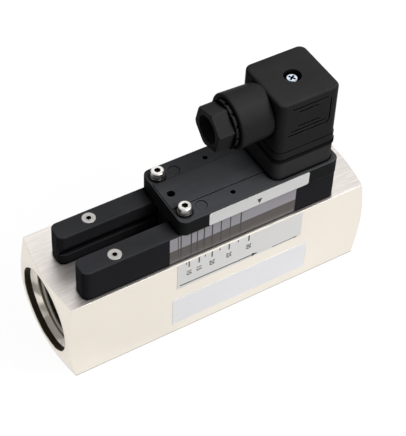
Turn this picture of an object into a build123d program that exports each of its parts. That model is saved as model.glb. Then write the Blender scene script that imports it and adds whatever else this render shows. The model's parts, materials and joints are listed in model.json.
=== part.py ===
from build123d import *
import os
from math import cos, radians, tan

# Variable area flow switch. Millimetres, +Z up, +X along the flow.
# Origin: under the middle of the square body, on the surface that it stands on.

# General fits
fit_gap = 0.05  # radial gap of a screw or shaft in its hole
seat_gap = 0.1  # gap between parts that slide or lie on each other
loose_gap = 0.2  # gap of a washer or screw in a wide hole

# Square bar body
bar = 45.0  # across the flats
body_length = 148.0
end_cone = 15.0  # degrees, turned on both ends of the bar
end_face_radius = 21.9
bore_z = bar / 2

# Pipe thread G 1, bored to the bottom of its grooves
port_radius = 16.6
port_thread_length = 19.0
mouth_radius = 19.2
mouth_depth = 2.8
mouth_cone_length = mouth_radius - port_radius  # 45 degree run-in

# Main bore
bore_radius = 14.2
ring_groove_radius = 15.1
ring_groove_width = 1.3

# Retaining rings
ring_width = 1.6
ring_opening = 9.0
ring_lug_radius = 1.6
ring_lug_hole_radius = 0.8
ring_lug_shift = 6.6  # each lug's centre, sideways from the ring's middle
ring_lug_rise = 2.7  # and up from the bottom of the bore

# Stack held between the two retaining rings
guide_thickness = 7.0
tube_length = 74.0
stack_length = tube_length + 2 * guide_thickness
insert_gap = 0.03  # radial gap of the inserts in the main bore

# Measuring tube
orifice_radius = 9.8
orifice_edge = 1.2
tube_outlet_radius = 12.4
orifice_land = 9.0
cone_length = 46.0

# Spoked guides
guide_rim_radius = 11.6
guide_hub_radius = 4.0
spoke_width = 3.2
spoke_count = 3
guide_edge = 0.5

# Guide rod and nuts
rod_radius = 2.0
rod_overhang = 1.0
rod_edge = 0.4
nut_flats = 7.0
nut_height = 3.2

# Float
float_rest_gap = 3.0  # from the tube's inlet end to the float's nose at rest
nose_length = 4.0
nose_wall = 1.2
float_radius = 9.4
float_land = 3.0
magnet_length = 10.0
magnet_radius = 7.4
stem_radius = 4.6
collar_length = 3.0
collar_radius = 6.8
ring_edge = 0.3  # small bevel on magnet and collar
float_start = -tube_length / 2 + float_rest_gap
float_head_end = float_start + nose_length + float_land
float_end = float_head_end + magnet_length + collar_length

# Return spring
spring_wire = 0.9
spring_radius = 5.4
spring_turns = 11
outlet_boss_length = 1.6  # collar on the outlet hub that centres the spring

# Black parts stand off the middle of the body, towards the scale side
side_shift = -5.4

# Rail
rail_start = -64.9
rail_end = 56.6
rail_width = 31.4
rail_height = 16.0
channel_width = 11.6
rail_web = 8.0  # closed end of the fork
arm_corner = 3.2
web_corner = 1.6
rail_fold = 7.2  # the rail's sides are upright up to here and drafted above
rail_draft = 1.2  # degrees
rail_edge = 0.5
groove_height = 4.2
groove_depth = 2.0
groove_z = bar + 7.7  # middle of the grooves in the arms

# Screws of the rail, M3 countersunk with a 2 mm hexagon socket
m3_radius = 1.5
sink_head_radius = 3.0
sink_socket_flats = 2.0
sink_socket_depth = 1.3
rail_screw_x = (-48.5, 47.5)
screw_row = 11.25  # every screw row lies this far from the middle of the black parts
rail_screw_length = 20.0

# Switch housing
housing_start = -20.9
housing_end = rail_end
housing_width = 33.8
housing_bottom = bar + rail_height + seat_gap
housing_height = 7.8
housing_corner = 3.4
housing_edge = 0.4
housing_wall = 2.0
housing_roof = 2.4
housing_top = housing_bottom + housing_height
boss_radius = 3.4
boss_bite = 0.5  # bosses reach this far into the housing's walls

# Shoe that runs in the rail
shoe_plate = 2.0
shoe_gap = 0.2
shoe_flange = 1.7
shoe_end_gap = 1.0
front_screw_x = -16.2

# Housing screws, M3 cap screws with split washers
cap_head_radius = 2.75
cap_head_height = 3.0
cap_head_edge = 0.35
cap_socket_flats = 2.5
cap_socket_depth = 1.6
cap_screw_length = 8.0
washer_radius = 3.1
washer_thickness = 0.8
washer_split = 0.7
pad_radius = 3.5  # flat spot moulded under each washer
pad_height = 0.25

# Marks and holes on the housing's top
lock_hole_radius = 1.75
pin_hole_radius = 1.15
pin_hole_x = 6.8
pin_hole_depth = 1.6
blank_mark_x = -8.4
blank_mark_radius = 2.7
blank_mark_depth = 0.3
field_half_width = 7.6  # raised field along the middle of the top
field_start = -20.1
field_height = 0.3

# Lock screw, M3 with a hexagon socket
lock_screw_length = 10.0
lock_screw_edge = 0.3
lock_socket_flats = 1.5

# Reed switch
reed_x = 16.9  # under the pointer
reed_z = bar + 3.6
reed_glass_radius = 1.1
reed_glass_length = 14.0
reed_end_rounding = 0.7
reed_lead_radius = 0.3
reed_lead_length = 4.0
carrier_radius = 2.4
carrier_length = 26.0

# Connector, contact pattern of a form A valve plug
plug_x = 39.45
plug_size = 30.2
plug_corner = 4.0
plug_edge = 1.4
plug_draft = 0.6  # degrees, above the lip
plug_height = 29.9
plug_wall = 2.0
plug_roof = 6.0
lip_height = 3.8
lip_inset = 0.3  # the hood stands back this far from the lip
base_size = 30.2
base_height = 9.7
base_corner = 4.0
base_edge = 0.4
gasket_thickness = 1.6
gasket_size = 30.8
blade_width = 6.3
blade_thickness = 0.8
blade_ring_radius = 9.0  # contacts stand this far from the connector's middle
blade_reach = 12.0
blade_tail = 5.5
blade_gap = 0.05
blade_tip_edge = 0.25
blade_window_width = 7.5  # openings for the contacts in housing roof and gasket
blade_window_thickness = 2.4
base_top = housing_top + base_height
plug_bottom = base_top + gasket_thickness
plug_top = plug_bottom + plug_height

# Threaded insert: a metal pillar in the middle of the base
insert_radius = 2.6
insert_depth = 7.0
insert_rise = 5.0  # it stands this far out of the base
pillar_gap = 0.3
base_screw_row = 8.6
base_screw_length = 13.5
base_screw_sink = 0.6  # heads lie this far below the base's top

# Lines moulded in the plug's labelled side
plug_line_width = 0.75
plug_line_depth = 0.4
plug_lines = (  # height above the lip, start and end along the flow from the plug's middle
    (22.6, -9.0, 8.2),
    (20.4, -6.0, 3.8),
    (12.7, -6.0, 4.9),
    (10.6, -9.0, 8.2),
)
plug_frame_start = -10.0
plug_frame_side = 9.75
plug_frame_low = 8.6
plug_frame_high = 22.0
plug_frame_corner = 1.6

# Terminal block inside the plug
block_gap = 0.5  # gap round the block in the plug
block_height = 12.0
socket_wall = 0.6
bridge_thickness = 1.0
terminal_head_radius = 1.6
terminal_head_height = 1.4
terminal_slot_width = 0.5
terminal_slot_depth = 0.6

# Plug screw, M3 with a cross recess
plug_screw_length = 27.4
plug_screw_head_radius = 2.7
plug_screw_head_height = 2.0
plug_screw_rounding = 0.7
plug_recess_radius = 3.85
plug_recess_depth = 3.9
cross_width = 0.8
cross_length = 3.2
cross_depth = 1.1
cross_turn = 30.0  # degrees, how the recess happens to stand
seal_thickness = 0.6
seal_gap = 0.3

# Cable entry
entry_z = 98.1
entry_root_radius = 11.6  # at the plug
entry_radius = 12.2  # at its front
entry_reach = 15.3  # from the plug's side to the end of the round part
entry_bore_radius = 8.0
entry_edge = 1.0
ratchet_radius = 10.3
ratchet_length = 1.6
ratchet_teeth = 12
ratchet_notch_width = 1.4
ratchet_notch_depth = 0.9
pawl_width = 2.4
pawl_height = 1.5
pawl_angle = -125.0  # degrees, on the lower labelled side
gland_flats = 17.0
gland_head_length = 7.5
gland_shank_length = 6.0
gland_bore_radius = 6.35
gland_turn = -16.0  # degrees, how the hexagon happens to stand
gland_bevel_radius = 9.3  # turned bevel on the nut's front corners
gland_bevel_length = 0.5
gland_washer_thickness = 1.0
grommet_length = 6.5
grommet_bore_radius = 4.2

# Labels and strip
label_thickness = 0.12
strip_start = -25.5
strip_end = 36.2
strip_height = 15.0
scale_label_start = -22.4
scale_label_end = 40.3
scale_label_top = 44.3
scale_label_height = 15.4
blank_label_start = -24.2
blank_label_end = 44.5
blank_label_top = 22.2
blank_label_height = 16.4
pointer_label_start = -7.7
pointer_label_end = 41.2
pointer_label_height = 7.1
pointer_label_corner = 0.9

# Places worked out from the sizes above
half_length = body_length / 2
port_end = half_length - port_thread_length - mouth_depth - mouth_cone_length
ring_x = stack_length / 2 + ring_groove_width / 2
tube_half = tube_length / 2
hub_reach = tube_half + guide_thickness
insert_radius_outer = bore_radius - insert_gap
bore_axis = Axis((0, 0, bore_z), (1, 0, 0))
side_plane = Plane((0, 0, bore_z), x_dir=(1, 0, 0), z_dir=(0, -1, 0))
rail_top = bar + rail_height
rail_middle = (rail_start + rail_end) / 2
rail_length = rail_end - rail_start
housing_middle = (housing_start + housing_end) / 2
housing_length = housing_end - housing_start
shoe_start = housing_start + housing_wall
shoe_end = rail_end - rail_web - shoe_end_gap
shoe_bottom = bar + seat_gap
cavity_top = housing_top - housing_roof
plate_top = housing_bottom + shoe_plate
plug_face = plug_x - plug_size / 2
entry_end = plug_face - entry_reach
ratchet_end = entry_end - ratchet_length
gland_front = ratchet_end - gland_head_length
gland_axis = Axis((0, side_shift, entry_z), (1, 0, 0))
gland_plane = Plane((0, side_shift, entry_z), x_dir=(1, 0, 0), z_dir=(0, -1, 0))
cavity_size = plug_size - 2 * (plug_wall + lip_inset)
cavity_corner = plug_corner - plug_wall
hood_size = plug_size - 2 * lip_inset
hood_bottom = plug_bottom + lip_height

os.makedirs("parts", exist_ok=True)


def write(name, part):
    """Label a finished piece and write it under its own name."""
    part.label = name
    export_step(part, f"parts/{name}.step")


def cross_plane(x, y=0.0, z=bore_z):
    """Plane across the flow at x, facing along +X."""
    return Plane((x, y, z), x_dir=(0, 1, 0), z_dir=(1, 0, 0))


def rows(*xs):
    """Places on both screw rows at the given x."""
    return [(x, side_shift + side * screw_row) for x in xs for side in (-1, 1)]


# Flow body
with BuildPart() as brass_body:
    with BuildSketch(cross_plane(-half_length)):
        Rectangle(bar, bar)
    extrude(amount=body_length)
    cone_run = (bar - end_face_radius) * tan(radians(end_cone))
    with BuildSketch(side_plane):
        with BuildLine():
            Polyline(
                (-half_length, 0),
                (-half_length, end_face_radius),
                (-half_length + cone_run, bar),
                (half_length - cone_run, bar),
                (half_length, end_face_radius),
                (half_length, 0),
                close=True,
            )
        make_face()
    revolve(axis=bore_axis, mode=Mode.INTERSECT)
    with BuildSketch(side_plane):
        with BuildLine():
            Polyline(
                (-half_length, 0),
                (-half_length, mouth_radius),
                (-half_length + mouth_depth, mouth_radius),
                (-half_length + mouth_depth + mouth_cone_length, port_radius),
                (-port_end, port_radius),
                (-port_end, bore_radius),
                (port_end, bore_radius),
                (port_end, port_radius),
                (half_length - mouth_depth - mouth_cone_length, port_radius),
                (half_length - mouth_depth, mouth_radius),
                (half_length, mouth_radius),
                (half_length, 0),
                close=True,
            )
        make_face()
    revolve(axis=bore_axis, mode=Mode.SUBTRACT)
    for side in (-1, 1):
        with BuildSketch(cross_plane(side * ring_x - ring_groove_width / 2)):
            Circle(ring_groove_radius)
        extrude(amount=ring_groove_width, mode=Mode.SUBTRACT)
    with BuildSketch(Plane.XY.offset(bar)):
        with Locations(*rows(*rail_screw_x)):
            Circle(m3_radius + fit_gap)
    extrude(amount=rail_height - rail_screw_length - fit_gap, mode=Mode.SUBTRACT)
write("brass_body", brass_body.part)

# Measuring tube: sharp orifice, then a cone that widens along the flow
with BuildPart() as measuring_tube:
    with BuildSketch(side_plane):
        with BuildLine():
            Polyline(
                (-tube_half, orifice_radius + orifice_edge),
                (-tube_half, insert_radius_outer),
                (tube_half, insert_radius_outer),
                (tube_half, tube_outlet_radius),
                (-tube_half + orifice_land + cone_length, tube_outlet_radius),
                (-tube_half + orifice_land, orifice_radius),
                (-tube_half + orifice_edge, orifice_radius),
                close=True,
            )
        make_face()
    revolve(axis=bore_axis)
write("measuring_tube", measuring_tube.part)


def build_guide(start, boss):
    """Guide ring with a spoked hub from start along +X; boss is the length of its collar towards -X."""
    spoke_reach = (guide_rim_radius + insert_radius_outer) / 2
    with BuildPart() as guide:
        with BuildSketch(cross_plane(start)):
            Circle(insert_radius_outer)
            Circle(guide_rim_radius, mode=Mode.SUBTRACT)
            Circle(guide_hub_radius)
            with PolarLocations(0, spoke_count, start_angle=90):
                with Locations((spoke_reach / 2, 0)):
                    Rectangle(spoke_reach, spoke_width)
            Circle(rod_radius + fit_gap, mode=Mode.SUBTRACT)
        extrude(amount=guide_thickness)
        round_edges = guide.edges().filter_by(GeomType.CIRCLE)
        rim = round_edges.filter_by(lambda e: e.radius > insert_radius_outer - fit_gap)
        chamfer(rim, length=guide_edge)
        if boss > 0:
            with BuildSketch(cross_plane(start)):
                Circle(guide_hub_radius)
                Circle(rod_radius + fit_gap, mode=Mode.SUBTRACT)
            extrude(amount=-boss)
    return guide.part


write("inlet_guide", build_guide(-hub_reach, 0))
write("outlet_guide", build_guide(tube_half, outlet_boss_length))

# Guide rod with a nut at each end
rod_half = hub_reach + nut_height + rod_overhang
with BuildPart() as guide_rod:
    with BuildSketch(cross_plane(-rod_half)):
        Circle(rod_radius)
    extrude(amount=2 * rod_half)
    chamfer(guide_rod.edges().filter_by(GeomType.CIRCLE), length=rod_edge)
write("guide_rod", guide_rod.part)

with BuildPart() as rod_nuts:
    for side in (-1, 1):
        with BuildSketch(cross_plane(side * hub_reach)):
            RegularPolygon(nut_flats / 2, 6, major_radius=False)
            Circle(rod_radius + fit_gap, mode=Mode.SUBTRACT)
        extrude(amount=side * nut_height)
write("rod_nuts", rod_nuts.part)

# Retaining rings in the grooves of the main bore, with plier holes in their lugs
lug_places = [(side * ring_lug_shift, ring_lug_rise - bore_radius) for side in (-1, 1)]
with BuildPart() as retaining_rings:
    for side in (-1, 1):
        with BuildSketch(cross_plane(side * ring_x - ring_groove_width / 2 + fit_gap)):
            Circle(ring_groove_radius - fit_gap)
            Circle(bore_radius - ring_width, mode=Mode.SUBTRACT)
            with Locations((0, -bore_radius)):
                Rectangle(ring_opening, 2 * ring_lug_rise, mode=Mode.SUBTRACT)
            with Locations(*lug_places):
                Circle(ring_lug_radius)
                Circle(ring_lug_hole_radius, mode=Mode.SUBTRACT)
        extrude(amount=ring_groove_width - 2 * fit_gap)
write("retaining_rings", retaining_rings.part)

# Float: head with its stem, ring magnet and collar
with BuildPart() as float_head:
    with BuildSketch(side_plane):
        with BuildLine():
            Polyline(
                (float_start, rod_radius + fit_gap),
                (float_start, rod_radius + nose_wall),
                (float_start + nose_length, float_radius),
                (float_head_end, float_radius),
                (float_head_end, stem_radius),
                (float_end, stem_radius),
                (float_end, rod_radius + fit_gap),
                close=True,
            )
        make_face()
    revolve(axis=bore_axis)
write("float_head", float_head.part)

with BuildPart() as ring_magnet:
    with BuildSketch(cross_plane(float_head_end)):
        Circle(magnet_radius)
        Circle(stem_radius + fit_gap, mode=Mode.SUBTRACT)
    extrude(amount=magnet_length)
    chamfer(ring_magnet.edges().filter_by(GeomType.CIRCLE), length=ring_edge)
write("ring_magnet", ring_magnet.part)

with BuildPart() as float_collar:
    with BuildSketch(cross_plane(float_head_end + magnet_length)):
        Circle(collar_radius)
        Circle(stem_radius + fit_gap, mode=Mode.SUBTRACT)
    extrude(amount=collar_length)
    chamfer(float_collar.edges().filter_by(GeomType.CIRCLE), length=ring_edge)
write("float_collar", float_collar.part)

# Return spring between the float's collar and the face of the outlet guide
spring_start = float_end + spring_wire / 2 + fit_gap
spring_end = tube_half - spring_wire / 2 - fit_gap
spring_length = spring_end - spring_start
with BuildPart() as float_spring:
    with BuildLine() as coil:
        Helix(
            pitch=spring_length / spring_turns,
            height=spring_length,
            radius=spring_radius,
            center=(spring_start, 0, bore_z),
            direction=(1, 0, 0),
        )
    with BuildSketch(Plane(coil.line @ 0, z_dir=coil.line % 0)):
        Circle(spring_wire / 2)
    sweep(path=coil.line)
write("float_spring", float_spring.part)

# Rail: a fork, open towards the inlet, with grooves for the shoe in both arms
with BuildPart() as mounting_rail:
    with BuildSketch(Plane.XY.offset(bar)) as rail_plan:
        with Locations((rail_middle, side_shift)):
            Rectangle(rail_length, rail_width)
        with Locations((rail_middle - rail_web, side_shift)):
            Rectangle(rail_length, channel_width, mode=Mode.SUBTRACT)
        fillet(rail_plan.vertices().group_by(Axis.X)[0], radius=arm_corner)
        fillet(rail_plan.vertices().group_by(Axis.X)[-1], radius=web_corner)
    extrude(amount=rail_fold)
    fold_face = mounting_rail.faces().sort_by(Axis.Z)[-1]
    extrude(fold_face, amount=rail_height - rail_fold, taper=rail_draft)
    fillet(mounting_rail.faces().sort_by(Axis.Z)[-1].outer_wire().edges(), radius=rail_edge)
    with BuildSketch(cross_plane(rail_start, side_shift, groove_z)):
        Rectangle(channel_width + 2 * groove_depth, groove_height)
    extrude(amount=rail_length - rail_web, mode=Mode.SUBTRACT)
    with Locations(*[(x, y, rail_top) for x, y in rows(*rail_screw_x)]):
        CounterSinkHole(m3_radius + fit_gap, sink_head_radius + fit_gap, counter_sink_angle=90)
write("mounting_rail", mounting_rail.part)

with BuildPart() as rail_screws:
    with BuildSketch(Plane.XY.offset(rail_top)):
        with Locations(*rows(*rail_screw_x)):
            Circle(m3_radius)
    extrude(amount=-rail_screw_length)
    with BuildSketch(Plane.XY.offset(rail_top - fit_gap)):
        with Locations(*rows(*rail_screw_x)):
            Circle(sink_head_radius)
    extrude(amount=m3_radius - sink_head_radius, taper=45)
    with BuildSketch(Plane.XY.offset(rail_top)):
        with Locations(*rows(*rail_screw_x)):
            RegularPolygon(sink_socket_flats / 2, 6, major_radius=False)
    extrude(amount=-sink_socket_depth, mode=Mode.SUBTRACT)
write("rail_screws", rail_screws.part)

# Switch housing: a shell, open below, that slides on top of the rail
front_places = [*rows(front_screw_x), (front_screw_x, side_shift)]
base_screw_places = [
    (plug_x + side * base_screw_row, side_shift + side * base_screw_row) for side in (-1, 1)
]
field_end = plug_x - base_size / 2 - seat_gap
with BuildPart() as switch_housing:
    with BuildSketch(Plane.XY.offset(housing_bottom)):
        with Locations((housing_middle, side_shift)):
            RectangleRounded(housing_length, housing_width, housing_corner)
    extrude(amount=housing_height)
    fillet(switch_housing.faces().sort_by(Axis.Z)[-1].outer_wire().edges(), radius=housing_edge)
    with BuildSketch(Plane.XY.offset(housing_bottom)):
        with Locations((housing_middle, side_shift)):
            RectangleRounded(
                housing_length - 2 * housing_wall,
                housing_width - 2 * housing_wall,
                housing_corner - housing_wall,
            )
    extrude(amount=cavity_top - housing_bottom, mode=Mode.SUBTRACT)
    with BuildSketch(Plane.XY.offset(plate_top)):
        with Locations(*front_places, *base_screw_places):
            Circle(boss_radius)
        with Locations((housing_middle, side_shift)):
            Rectangle(
                housing_length - 2 * (housing_wall - boss_bite),
                housing_width - 2 * (housing_wall - boss_bite),
                mode=Mode.INTERSECT,
            )
    extrude(amount=cavity_top - plate_top)
    with BuildSketch(Plane.XY.offset(housing_top)):
        with Locations(*rows(front_screw_x)):
            Circle(pad_radius)
    extrude(amount=pad_height)
    with BuildSketch(Plane.XY.offset(housing_top)):
        with Locations(((field_start + field_end) / 2, side_shift)):
            Rectangle(field_end - field_start, 2 * field_half_width)
    extrude(amount=field_height)
    with BuildSketch(Plane.XY.offset(plate_top)):
        with Locations(*rows(front_screw_x), *base_screw_places):
            Circle(m3_radius + fit_gap)
        with Locations((front_screw_x, side_shift)):
            Circle(lock_hole_radius)
    extrude(amount=housing_height, mode=Mode.SUBTRACT)
    with BuildSketch(Plane.XY.offset(housing_top)):
        with Locations(*rows(pin_hole_x)):
            Circle(pin_hole_radius)
    extrude(amount=-pin_hole_depth, mode=Mode.SUBTRACT)
    with BuildSketch(Plane.XY.offset(housing_top)):
        with Locations(*rows(blank_mark_x)):
            Circle(blank_mark_radius)
    extrude(amount=-blank_mark_depth, mode=Mode.SUBTRACT)
    with BuildSketch(Plane.XY.offset(cavity_top)):
        with Locations((plug_x, side_shift)):
            with PolarLocations(blade_ring_radius, 4):
                Rectangle(blade_window_thickness, blade_window_width)
    extrude(amount=housing_roof, mode=Mode.SUBTRACT)
write("switch_housing", switch_housing.part)

# Shoe: plate that closes the housing, with a tongue that runs in the rail's channel
with BuildPart() as slide_shoe:
    with BuildSketch(Plane.XY.offset(housing_bottom)):
        with Locations((housing_middle, side_shift)):
            RectangleRounded(
                housing_length - 2 * (housing_wall + seat_gap),
                housing_width - 2 * (housing_wall + seat_gap),
                housing_corner - housing_wall,
            )
    extrude(amount=shoe_plate - fit_gap)
    tongue_width = channel_width - 2 * shoe_gap
    with BuildSketch(cross_plane(shoe_start, side_shift, 0)):
        with Locations((0, (shoe_bottom + housing_bottom) / 2)):
            Rectangle(tongue_width, housing_bottom - shoe_bottom)
        with Locations((0, groove_z)):
            Rectangle(tongue_width + 2 * shoe_flange, groove_height - 2 * shoe_gap)
    extrude(amount=shoe_end - shoe_start)
    with BuildSketch(Plane.XY.offset(plate_top)):
        with Locations(*front_places, *base_screw_places):
            Circle(m3_radius + fit_gap)
    extrude(amount=shoe_bottom - plate_top, mode=Mode.SUBTRACT)
    with BuildSketch(cross_plane(reed_x - carrier_length / 2 - seat_gap, side_shift, reed_z)):
        Circle(carrier_radius + fit_gap)
        with Locations((0, -carrier_radius)):
            Rectangle(2 * (carrier_radius + fit_gap), 2 * carrier_radius)
    extrude(amount=carrier_length + 2 * seat_gap, mode=Mode.SUBTRACT)
write("slide_shoe", slide_shoe.part)

# Cap screws of the housing with their split washers
washer_bottom = housing_top + pad_height
head_bottom = washer_bottom + washer_thickness
with BuildPart() as housing_screws:
    with BuildSketch(Plane.XY.offset(head_bottom)):
        with Locations(*rows(front_screw_x)):
            Circle(cap_head_radius)
    extrude(amount=cap_head_height)
    head_tops = housing_screws.faces().group_by(Axis.Z)[-1]
    chamfer(head_tops.edges(), length=cap_head_edge)
    with BuildSketch(Plane.XY.offset(head_bottom)):
        with Locations(*rows(front_screw_x)):
            Circle(m3_radius)
    extrude(amount=-cap_screw_length)
    with BuildSketch(Plane.XY.offset(head_bottom + cap_head_height)):
        with Locations(*rows(front_screw_x)):
            RegularPolygon(cap_socket_flats / 2, 6, major_radius=False)
    extrude(amount=-cap_socket_depth, mode=Mode.SUBTRACT)
write("housing_screws", housing_screws.part)

with BuildPart() as spring_washers:
    with BuildSketch(Plane.XY.offset(washer_bottom)):
        with Locations(*rows(front_screw_x)):
            Circle(washer_radius)
            Circle(m3_radius + 2 * fit_gap, mode=Mode.SUBTRACT)
            with Locations(((washer_radius + m3_radius) / 2, 0)):
                Rectangle(washer_radius, washer_split, mode=Mode.SUBTRACT)
    extrude(amount=washer_thickness)
write("spring_washers", spring_washers.part)

# Lock screw under the hole in the housing's top: it presses on the body
with BuildPart() as lock_screw:
    with BuildSketch(Plane.XY.offset(shoe_bottom)):
        with Locations((front_screw_x, side_shift)):
            Circle(m3_radius)
    extrude(amount=lock_screw_length)
    chamfer(lock_screw.edges().filter_by(GeomType.CIRCLE), length=lock_screw_edge)
    with BuildSketch(Plane.XY.offset(shoe_bottom + lock_screw_length)):
        with Locations((front_screw_x, side_shift)):
            RegularPolygon(lock_socket_flats / 2, 6, major_radius=False)
    extrude(amount=-lock_socket_flats, mode=Mode.SUBTRACT)
write("lock_screw", lock_screw.part)

# Reed switch in its carrier, in the foot of the shoe
with BuildPart() as reed_carrier:
    with BuildSketch(cross_plane(reed_x - carrier_length / 2, side_shift, reed_z)):
        Circle(carrier_radius)
        Circle(reed_glass_radius + fit_gap, mode=Mode.SUBTRACT)
    extrude(amount=carrier_length)
write("reed_carrier", reed_carrier.part)

with BuildPart() as reed_switch:
    with BuildSketch(cross_plane(reed_x - reed_glass_length / 2, side_shift, reed_z)):
        Circle(reed_glass_radius)
    extrude(amount=reed_glass_length)
    fillet(reed_switch.edges().filter_by(GeomType.CIRCLE), radius=reed_end_rounding)
    lead_start = reed_x - reed_glass_length / 2 - reed_lead_length
    with BuildSketch(cross_plane(lead_start, side_shift, reed_z)):
        Circle(reed_lead_radius)
    extrude(amount=reed_glass_length + 2 * reed_lead_length)
write("reed_switch", reed_switch.part)

# Connector base
with BuildPart() as plug_base:
    with BuildSketch(Plane.XY.offset(housing_top)):
        with Locations((plug_x, side_shift)):
            RectangleRounded(base_size, base_size, base_corner)
    extrude(amount=base_height)
    chamfer(plug_base.faces().sort_by(Axis.Z)[-1].outer_wire().edges(), length=base_edge)
    with BuildSketch(Plane.XY.offset(housing_top)):
        with Locations((plug_x, side_shift)):
            with PolarLocations(blade_ring_radius, 4):
                Rectangle(blade_thickness + 2 * blade_gap, blade_width + 2 * blade_gap)
    extrude(amount=base_height, mode=Mode.SUBTRACT)
    with BuildSketch(Plane.XY.offset(base_top)):
        with Locations((plug_x, side_shift)):
            Circle(insert_radius + fit_gap)
    extrude(amount=-insert_depth - fit_gap, mode=Mode.SUBTRACT)
    with Locations(*[(x, y, base_top) for x, y in base_screw_places]):
        CounterBoreHole(
            m3_radius + fit_gap, cap_head_radius + 2 * fit_gap, cap_head_height + base_screw_sink
        )
write("plug_base", plug_base.part)

with BuildPart() as base_screws:
    base_head_bottom = base_top - cap_head_height - base_screw_sink
    with BuildSketch(Plane.XY.offset(base_head_bottom)):
        with Locations(*base_screw_places):
            Circle(cap_head_radius)
    extrude(amount=cap_head_height)
    with BuildSketch(Plane.XY.offset(base_head_bottom)):
        with Locations(*base_screw_places):
            Circle(m3_radius)
    extrude(amount=-base_screw_length)
    with BuildSketch(Plane.XY.offset(base_head_bottom + cap_head_height)):
        with Locations(*base_screw_places):
            RegularPolygon(cap_socket_flats / 2, 6, major_radius=False)
    extrude(amount=-cap_socket_depth, mode=Mode.SUBTRACT)
write("base_screws", base_screws.part)

with BuildPart() as screw_insert:
    with BuildSketch(Plane.XY.offset(base_top - insert_depth)):
        with Locations((plug_x, side_shift)):
            Circle(insert_radius)
            Circle(m3_radius + fit_gap, mode=Mode.SUBTRACT)
    extrude(amount=insert_depth + insert_rise)
write("screw_insert", screw_insert.part)

with BuildPart() as contact_pins:
    with BuildSketch(Plane.XY.offset(housing_top - blade_tail)):
        with Locations((plug_x, side_shift)):
            with PolarLocations(blade_ring_radius, 4):
                Rectangle(blade_thickness, blade_width)
    extrude(amount=blade_tail + base_height + blade_reach)
    tip_edges = contact_pins.faces().group_by(Axis.Z)[-1].edges()
    chamfer(tip_edges.filter_by(lambda e: e.length > 2 * blade_thickness), length=blade_tip_edge)
write("contact_pins", contact_pins.part)

# Gasket between base and plug
with BuildPart() as profile_gasket:
    with BuildSketch(Plane.XY.offset(base_top)):
        with Locations((plug_x, side_shift)):
            RectangleRounded(gasket_size, gasket_size, base_corner)
            Circle(insert_radius + pillar_gap, mode=Mode.SUBTRACT)
            with PolarLocations(blade_ring_radius, 4):
                Rectangle(blade_window_thickness, blade_window_width, mode=Mode.SUBTRACT)
    extrude(amount=gasket_thickness)
write("profile_gasket", profile_gasket.part)

# Plug housing: lip, drafted hood, round cable entry with its ratchet ring and pawl
plug_middle = Location((plug_x, side_shift))
line_plane = Plane(
    (plug_x, side_shift - hood_size / 2, hood_bottom),
    x_dir=(1, 0, 0),
    z_dir=(0, -1, tan(radians(plug_draft))),
)
with BuildPart() as plug_housing:
    with BuildSketch(Plane.XY.offset(plug_bottom)):
        with Locations(plug_middle):
            RectangleRounded(plug_size, plug_size, plug_corner)
    extrude(amount=lip_height)
    with BuildSketch(Plane.XY.offset(hood_bottom)):
        with Locations(plug_middle):
            RectangleRounded(hood_size, hood_size, plug_corner - lip_inset)
    extrude(amount=plug_top - hood_bottom, taper=plug_draft)
    fillet(plug_housing.faces().sort_by(Axis.Z)[-1].outer_wire().edges(), radius=plug_edge)
    with BuildSketch(gland_plane):
        with BuildLine():
            Polyline(
                (entry_end, 0),
                (entry_end, entry_radius),
                (plug_face, entry_root_radius),
                (plug_face + plug_wall, entry_root_radius),
                (plug_face + plug_wall, 0),
                close=True,
            )
        make_face()
    revolve(axis=gland_axis)
    entry_rim = plug_housing.faces().sort_by(Axis.X)[0]
    fillet(entry_rim.edges(), radius=entry_edge)
    with BuildSketch(cross_plane(entry_end, side_shift, entry_z)):
        Circle(ratchet_radius)
        with PolarLocations(ratchet_radius, ratchet_teeth):
            Rectangle(ratchet_notch_depth, ratchet_notch_width, mode=Mode.SUBTRACT)
        with PolarLocations(ratchet_radius, 1, start_angle=pawl_angle):
            Rectangle(pawl_height, pawl_width)
    extrude(amount=-ratchet_length)
    with BuildSketch(Plane.XY.offset(plug_bottom)):
        with Locations(plug_middle):
            RectangleRounded(cavity_size, cavity_size, cavity_corner)
    extrude(amount=plug_height - plug_roof, mode=Mode.SUBTRACT)
    with BuildSketch(cross_plane(plug_face + plug_wall, side_shift, entry_z)):
        Circle(entry_bore_radius)
    extrude(amount=-entry_reach - plug_wall - ratchet_length, mode=Mode.SUBTRACT)
    with Locations((plug_x, side_shift, plug_top)):
        CounterBoreHole(m3_radius + seat_gap, plug_recess_radius, plug_recess_depth)
    with BuildSketch(line_plane):
        for height, start, end in plug_lines:
            with Locations(((start + end) / 2, height)):
                Rectangle(end - start, plug_line_width)
        with BuildLine() as frame_line:
            FilletPolyline(
                (plug_frame_start, plug_frame_low),
                (plug_frame_side, plug_frame_low),
                (plug_frame_side, plug_frame_high),
                radius=plug_frame_corner,
            )
        trace(line_width=plug_line_width)
    extrude(amount=-plug_line_depth, mode=Mode.SUBTRACT)
write("plug_housing", plug_housing.part)

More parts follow.
